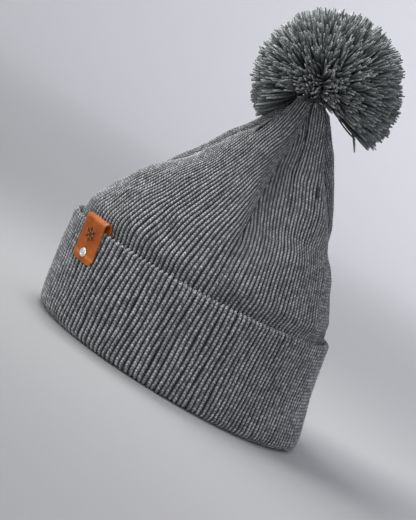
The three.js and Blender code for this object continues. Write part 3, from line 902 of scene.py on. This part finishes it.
def rivet(material):
    """The rivet's cap, a low dome with a turned ring, square to the leaning cuff."""
    base = TAB_CLEARANCE + TAB_THICKNESS + 0.05
    profile = [
        (0.0, 0.95), (0.2, 0.97), (0.3, 0.9), (0.35, 0.72), (0.42, 0.7), (0.49, 0.88), (0.61, 1.12),
        (0.75, 1.08), (0.86, 0.9), (0.94, 0.62), (0.99, 0.3), (1.0, 0.08), (0.97, 0.0), (0.0, 0.0),
    ]
    centre = tab_place(0.0, RIVET_HEIGHT, base)
    outward = tab_place(0.0, RIVET_HEIGHT, base + 1) - centre
    outward[2] = BAND_LEAN * outward[1]
    outward = unit(outward)
    east = unit(np.cross([0, 0, 1], outward))
    north = np.cross(outward, east)
    turn = round_turn(48)[:, None]
    ring = RIVET_RADIUS * (np.cos(turn) * east + np.sin(turn) * north)
    rows = [centre + outward * height + ring * share for share, height in profile]
    faces = grid_faces(len(rows), len(turn), closed=True)
    obj = mesh_object("rivet_cap_turned", rows, faces, material)
    close_mesh(obj, fill=False)
    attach(obj, "cuff")
    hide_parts("rivet_cap")


# ---- Pom ----

# The strands leave the binding and end on a ball. The crown holds up the lowest ones: HANG is how far
# below level they may point, at the wearer's sides, front and back.
POM_LEAN_BACK = math.radians(5)
POM_AXIS = np.array([0, math.sin(POM_LEAN_BACK), math.cos(POM_LEAN_BACK)])
POM_TILT = np.array(Matrix.Rotation(-POM_LEAN_BACK, 3, "X")).T
POM_CENTRE = TIP + POM_AXIS * 15 + [0, 1.5, 0]
POM_HUB = POM_CENTRE + [0, -4, -2.5]
HANG_SIDE = math.radians(12)
HANG_FRONT = math.radians(66)
HANG_BACK = math.radians(16)
STRANDS = 4300
SHORT_STRANDS = 420
STRAND_SIDES = 5
STRAND_RINGS = 7
STRAND_START = 11.0
STRAND_RADIUS = 0.86
STRAND_PROFILE = {0: 0.6, 0.5: 0.82, 0.85: 0.95, 0.97: 1.0, 1: 0.62}
SMALL_TUFTS = 1000
LARGE_TUFTS = 110

# Strands that point lower than this bend with the crown.
SKIRT_LIMIT = -0.34

# The parting on the pom's left: its roll from upright, and half its width as a share of the ball.
PARTING_ROLL = math.radians(43)
PARTING_WIDTH = 0.085


def crown_reach(points):
    """How far each point lies outside the crown's surface at its own height, in millimetres."""
    height = np.clip(points[..., 2], CUFF_HEIGHT, DOME_FOOT)
    centre = (FRONT_AT(height) + BACK_AT(height)) / 2
    x, y = points[..., 0], points[..., 1] - centre
    half_width, half_length = HALF_WIDTH_AT(height), (BACK_AT(height) - FRONT_AT(height)) / 2
    angle = np.mod(np.arctan2(x / half_width, -y / half_length), TURN)
    surface = crown_point(angle, height, 0)
    reach = np.hypot(x, y) - np.hypot(surface[..., 0], surface[..., 1] - centre)
    return np.where(points[..., 2] > DOME_FOOT + DOME_RISE + 1, 99.0, reach)


def direction_at(turn, polar):
    """Directions by their angle round an upright axis and their angle down from it."""
    level = np.sin(polar)
    return np.stack([np.cos(turn) * level, np.sin(turn) * level, np.cos(polar) + 0 * turn], -1)


def scattered(count):
    """Directions spread evenly and a little at random over a ball."""
    i = np.arange(count) + 0.5
    polar = np.arccos(1 - 2 * i / count)
    turn = math.pi * (1 + 5**0.5) * i
    direction = direction_at(turn, polar)
    direction += rng.normal(scale=0.8 / math.sqrt(count), size=direction.shape) * 1.6
    return unit(direction)


def held_up(direction):
    """Closes the ball of directions up so that none of them hangs lower than the crown lets it."""
    flat = np.maximum(np.hypot(direction[:, 0], direction[:, 1]), 1e-9)
    forward = -direction[:, 1] / flat
    hang = HANG_SIDE + (HANG_FRONT - HANG_SIDE) * np.maximum(forward, 0) ** 2
    hang += (HANG_BACK - HANG_SIDE) * np.maximum(-forward, 0)
    lowest = -np.sin(hang)
    rise = lowest + (1 - lowest) * (direction[:, 2] + 1) / 2
    level = np.sqrt(1 - rise**2) / flat
    return np.stack([direction[:, 0] * level, direction[:, 1] * level, rise], -1) @ POM_TILT


def drawn(direction, tufts, low, high):
    """Draws each direction part of the way to the nearest tuft."""
    near = tufts[np.argmax(direction @ tufts.T, axis=1)]
    return unit(direction + (near - direction) * rng.uniform(low, high, (len(direction), 1)))


def parted(direction):
    """Opens the dark parting on the wearer's left, where the binding pulls the strands apart."""
    across = np.array([0, math.cos(PARTING_ROLL), math.sin(PARTING_ROLL)])
    along = np.array([0, -math.sin(PARTING_ROLL), math.cos(PARTING_ROLL)])
    a, b = direction @ across, direction @ along
    a = a - (0.05 * np.sin(9 * b) + 0.03 * np.sin(23 * b + 1))
    facing = smoothstep(0.3, 0.75, direction[:, 0]) * smoothstep(-0.4, -0.15, b) * smoothstep(0.68, 0.3, b)
    width = PARTING_WIDTH * facing
    pushed = np.sign(a) * np.sqrt(a * a + width * width)
    return unit(direction + across * (pushed - a)[:, None])


def to_ball(direction):
    """How far it is from the hub to the ball's surface in each direction."""
    offset = POM_HUB - POM_CENTRE
    along = direction @ offset
    return -along + np.sqrt(along**2 + POM_RADIUS**2 - offset @ offset)


def strand_paths():
    """Every strand's middle line: out of the binding, bowed a little, and clear of the crown."""
    direction = held_up(scattered(STRANDS))
    tips = drawn(direction, held_up(scattered(SMALL_TUFTS)), 0.3, 0.85)
    tips = parted(drawn(tips, held_up(scattered(LARGE_TUFTS)), 0.12, 0.42))
    ragged = 0.975 + 0.02 * smooth_noise(tips * 60, 34, 31) + 0.024 * rng.normal(size=len(tips))
    length = to_ball(tips) * np.clip(ragged, 0.9, 1.05)
    share = np.linspace(0, 1, STRAND_RINGS)[None, :, None]
    curl = rng.normal(size=tips.shape)
    curl -= tips * np.sum(curl * tips, axis=1, keepdims=True)
    way = direction[:, None] * (1 - share) ** 1.3 + tips[:, None] * (1 - (1 - share) ** 1.3)
    paths = POM_HUB + way * (STRAND_START + (length[:, None, None] - STRAND_START) * share)
    paths += curl[:, None] * (1.7 * np.sin(share * math.pi * 0.9) + 1.4 * share**2)
    for _ in range(3):
        inside = np.maximum(1.2 - crown_reach(paths), 0)
        push = np.where(inside > 60, 0, inside)[..., None]
        paths = paths + level_unit(paths - [0, POM_CENTRE[1], 0]) * push
    return paths, tips


def strand_mesh(name, paths, first, material):
    """Tubes along the paths, a little wider and then blunt at the cut end."""
    count = len(paths)
    along = unit(np.gradient(paths, axis=1))
    helper = np.where(np.abs(along[..., 2:3]) > 0.9, [1.0, 0, 0], [0, 0, 1.0])
    east = unit(np.cross(along, helper))
    north = np.cross(along, east)
    radius = look_up(STRAND_PROFILE, np.linspace(0, 1, STRAND_RINGS))
    own = rng.uniform(0.85, 1.15, (count, 1, 1, 1)) * STRAND_RADIUS
    turn = round_turn(STRAND_SIDES)[:, None]
    ring = np.cos(turn) * east[:, :, None] + np.sin(turn) * north[:, :, None]
    rings = paths[:, :, None] + ring * radius[None, :, None, None] * own
    tip = paths[:, -1] + along[:, -1] * 0.35
    points = np.concatenate([rings.reshape(count, -1, 3), tip[:, None]], axis=1)
    tube = grid_faces(STRAND_RINGS, STRAND_SIDES, closed=True)
    per = STRAND_RINGS * STRAND_SIDES + 1
    last = per - 1 - STRAND_SIDES
    triangles = [(a, b, c) for a, b, c, d in tube] + [(a, c, d) for a, b, c, d in tube]
    triangles += [(last + i, last + (i + 1) % STRAND_SIDES, per - 1) for i in range(STRAND_SIDES)]
    triangles += [(0, i + 1, i) for i in range(1, STRAND_SIDES - 1)]
    faces = (np.array(triangles)[None] + (np.arange(count) * per)[:, None, None]).reshape(-1, 3)
    run = np.append(np.repeat(np.linspace(0, 1, STRAND_RINGS), STRAND_SIDES), 1.0)
    spin = np.append(np.tile(np.arange(STRAND_SIDES) / STRAND_SIDES * 0.9, STRAND_RINGS), 0.5)
    strand = (first + np.arange(count))[:, None] + 0.05 + spin
    obj = mesh_object(name, points, faces, material, uv_grid(strand, run))
    return obj


def lifted(points, over_tip, slope):
    """Raises the points that lie lower than a cone over the crown's tip."""
    from_tip = np.hypot(points[..., 0], points[..., 1] - TIP[1])
    points[..., 2] = np.maximum(points[..., 2], TIP[2] + over_tip + slope * from_tip)
    return points


def short_strands():
    """Short strands close under the binding, which close the pom up over the crown's tip."""
    turn = rng.uniform(0, TURN, SHORT_STRANDS)
    direction = direction_at(turn, np.arccos(rng.uniform(-0.62, -0.2, SHORT_STRANDS)))
    share = np.linspace(0.25, 1, STRAND_RINGS)[None, :, None]
    reach = rng.uniform(15, 28, SHORT_STRANDS)[:, None, None] * share
    curl = rng.normal(size=(SHORT_STRANDS, 1, 3)) * np.linspace(0, 1.3, STRAND_RINGS)[None, :, None]
    return lifted(POM_HUB + direction[:, None] * reach + curl, 4.5, -0.14)


def loose_tail():
    """One uneven strand that hangs out of the pom's underside at the back."""
    share = np.linspace(0, 1, STRAND_RINGS)[:, None]
    start, end = POM_CENTRE + [6, 14, -10], POM_CENTRE + [9, 41, -31]
    return start + (end - start) * share + np.array([0, 3.0, 2.5]) * np.sin(share * math.pi)


def pom(material):
    """The ball of strands. The lowest ones lie on the crown and the next ones bend with the tie."""
    paths, tips = strand_paths()
    rise = tips @ POM_AXIS
    upper = rise >= 0.0
    groups = (
        ("pom_skirt", rise < SKIRT_LIMIT),
        ("pom_lower", (rise >= SKIRT_LIMIT) & ~upper),
        ("pom_left", upper & (tips[:, 0] >= 0)),
        ("pom_right", upper & (tips[:, 0] < 0)),
    )
    first = 0
    made = []
    for name, chosen in groups:
        part = paths[chosen]
        if name == "pom_lower":
            part = np.concatenate([part, short_strands(), loose_tail()[None]])
        made.append(strand_mesh(name, part, first, material))
        first += len(part)
    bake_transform(made[0])
    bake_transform(made[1])
    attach(made[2], "pom")
    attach(made[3], "pom")
    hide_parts("pom_yarn")


def pom_heart(material):
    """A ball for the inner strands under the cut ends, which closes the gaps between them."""
    rows, columns = 22, 40
    polar = np.linspace(0.02, math.pi * 0.98, rows)[:, None]
    turn = round_turn(columns)[None]
    direction = direction_at(turn, polar) @ POM_TILT
    radius = 20 + 2.5 * smooth_noise(direction * 60, 20, 41)
    points = lifted(POM_CENTRE + direction * radius[..., None], 6.5, 0.37)
    faces = grid_faces(rows, columns, closed=True)[:, ::-1]
    # The ball takes the yarn material at a fifth of a strand's run, where its painted shade makes it near
    # black: it stands for the shade in the gaps between the strands.
    obj = mesh_object("pom_heart", points, faces, material, uv_grid(turn, 0.2 + 0 * polar))
    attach(obj, "pom")


# ---- Seams ----


def dart_seam(index, side, material):
    """The overlocked ridge inside one dart: a rounded strip with the thread's loops across it."""
    low, high = box_mm("dart_seam_" + side)
    rows, around = 90, 10
    height = np.linspace(low[2], high[2], rows)
    angle = dart_angles(height)[index]
    centre = crown_point(angle, height, LINING_DEPTH + 1.2)
    across = np.stack([np.cos(angle), np.sin(angle), 0 * angle], -1)
    inward = crown_point(angle, height, LINING_DEPTH + 2.2) - centre
    turn = round_turn(around)[:, None]
    swell = 1 + 0.16 * np.sin(np.arange(rows) * math.pi / 2)
    half_width, half_depth = 1.7, 1.0
    ring = half_width * np.cos(turn) * across[:, None] + half_depth * np.sin(turn) * inward[:, None]
    points = centre[:, None] + swell[:, None, None] * ring
    obj = mesh_object("seam_" + side, points, grid_faces(rows, around, closed=True), material)
    close_mesh(obj, fill=True)
    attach(obj, "crown")
    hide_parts("dart_seam_" + side)


# ---- Studio ----

# Each lamp's name, place, size, power, colour and target, in metres and watts.
LAMPS = (
    ("key", (0.5, -1.85, 1.4), 1.0, 29, (1.0, 0.99, 0.97), (0, 0, 0.12)),
    ("fill", (1.7, -0.2, 0.3), 1.2, 13, (0.93, 0.95, 1.0), (0, 0, 0.12)),
    ("top", (-0.05, -0.17, 0.47), 0.2, 1.8, (1.0, 1.0, 1.0), (0, 0, 0.25)),
    ("wall", (-2.4, 0.9, 2.2), 1.0, 16, (1.0, 1.0, 1.0), (-4, 0.3, 0.6)),
)


def camera():
    """The view of the worn hat: from the wearer's left, a little above, with the hat tipped back."""
    distance, rise, roll = 1.15, math.radians(6), math.radians(31)
    target = Vector((0, -0.0174, 0.0888))
    back = Vector((math.cos(rise), 0, math.sin(rise)))
    level = Vector((0, 1, 0))
    upright = back.cross(level)
    right = level * math.cos(roll) + upright * math.sin(roll)
    up = upright * math.cos(roll) - level * math.sin(roll)
    data = bpy.data.cameras.new("camera")
    picture_height = 0.382
    data.lens = data.sensor_width / 2 / (picture_height / 2 / distance)
    data.clip_start, data.clip_end = 0.05, 40
    obj = bpy.data.objects.new("camera", data)
    bpy.context.scene.collection.objects.link(obj)
    turn = Matrix((right, up, back)).transposed()
    obj.matrix_world = Matrix.Translation(target + back * distance) @ turn.to_4x4()
    bpy.context.scene.camera = obj


def studio():
    """A pale floor that curves up into a wall all round, under large soft lamps. The paper carries painted
    light and shade: it is darker near a spot in front of the hat and paler further off.
    """
    flat, curve, top, around = 2.4, 1.6, 4.2, 72
    profile = [(0.001, 0.0), (0.6, 0.0), (1.4, 0.0), (flat, 0.0)]
    for t in np.linspace(0, math.pi / 2, 14)[1:]:
        profile.append((flat + curve * math.sin(t), curve - curve * math.cos(t)))
    profile.append((flat + curve, top))
    turn = round_turn(around)
    rows = [np.stack([r * np.cos(turn), r * np.sin(turn), z + 0 * turn], -1) / MM for r, z in profile]
    n = Nodes("studio_paper")
    # Painted light and shade on the paper: its colour darkens towards this spot in front of the hat and
    # pales with distance from it.
    near = (0.9, -2.5, 0)
    far = n.add("ShaderNodeVectorMath", {0: n.place((1, 1, 0)), 1: near}, operation="DISTANCE")
    tone = n.ramp(
        n.math("DIVIDE", far.outputs["Value"], 6.0),
        [
            (0.41, (0.33, 0.33, 0.335)), (0.48, (0.48, 0.48, 0.49)),
            (0.65, (0.66, 0.66, 0.68)), (0.9, (0.82, 0.82, 0.85)),
        ],
    )
    paper = n.finish(Base_Color=tone, Roughness=0.9)
    floor = mesh_object("studio", rows, grid_faces(len(rows), around, closed=True), paper)

    world = bpy.data.worlds.new("world")
    bpy.context.scene.world = world
    world.use_nodes = True
    sky = world.node_tree.nodes["Background"]
    sky.inputs["Color"].default_value = (0.93, 0.95, 1.0, 1)
    sky.inputs["Strength"].default_value = 0.68
    for row in LAMPS:
        lamp(*row)
    bpy.context.scene.view_settings.view_transform = "Standard"
    bpy.context.scene.view_settings.look = "None"


def lamp(name, place, size, power, color, target):
    """A round area lamp aimed at a target."""
    data = bpy.data.lights.new(name, "AREA")
    data.shape = "DISK"
    data.size = size
    data.energy = power
    data.color = color
    obj = bpy.data.objects.new(name, data)
    bpy.context.scene.collection.objects.link(obj)
    obj.location = place
    aim = Vector(target) - Vector(place)
    obj.rotation_mode = "QUATERNION"
    obj.rotation_quaternion = aim.to_track_quat("-Z", "Y")


# ---- The whole hat ----

camera()
studio()

knit = knit_material()
yarn = yarn_material()
thread = thread_material()
leather = leather_material()
steel = steel_material()

quadrants = [Quadrant(i) for i in range(4)]
sides = ("front_left", "back_left", "back_right", "front_right")
crown_pieces = [knit_crown(quadrant, knit, side) for quadrant, side in zip(quadrants, sides)]
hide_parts("crown_outer_layer")
cuff_pieces = [knit_cuff(0, knit, "left"), knit_cuff(math.pi, knit, "right")]
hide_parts("cuff_face_layer")
lining = knit_lining(quadrants, knit)

for number, name in enumerate(("front", "left", "back", "right")):
    dart_seam(number, name, thread)

leather_tab(leather)
tab_mark(burnt_material())
rivet(steel)
pom_heart(yarn)
pom(yarn)

for node in ("closing_stitch", "pom_binding", "tie_knot", "tie_neck", "tie_loop", "rivet_post"):
    finishes = frame["nodes"][node].data.materials
    finishes.clear()
    finishes.append(steel if node == "rivet_post" else thread)
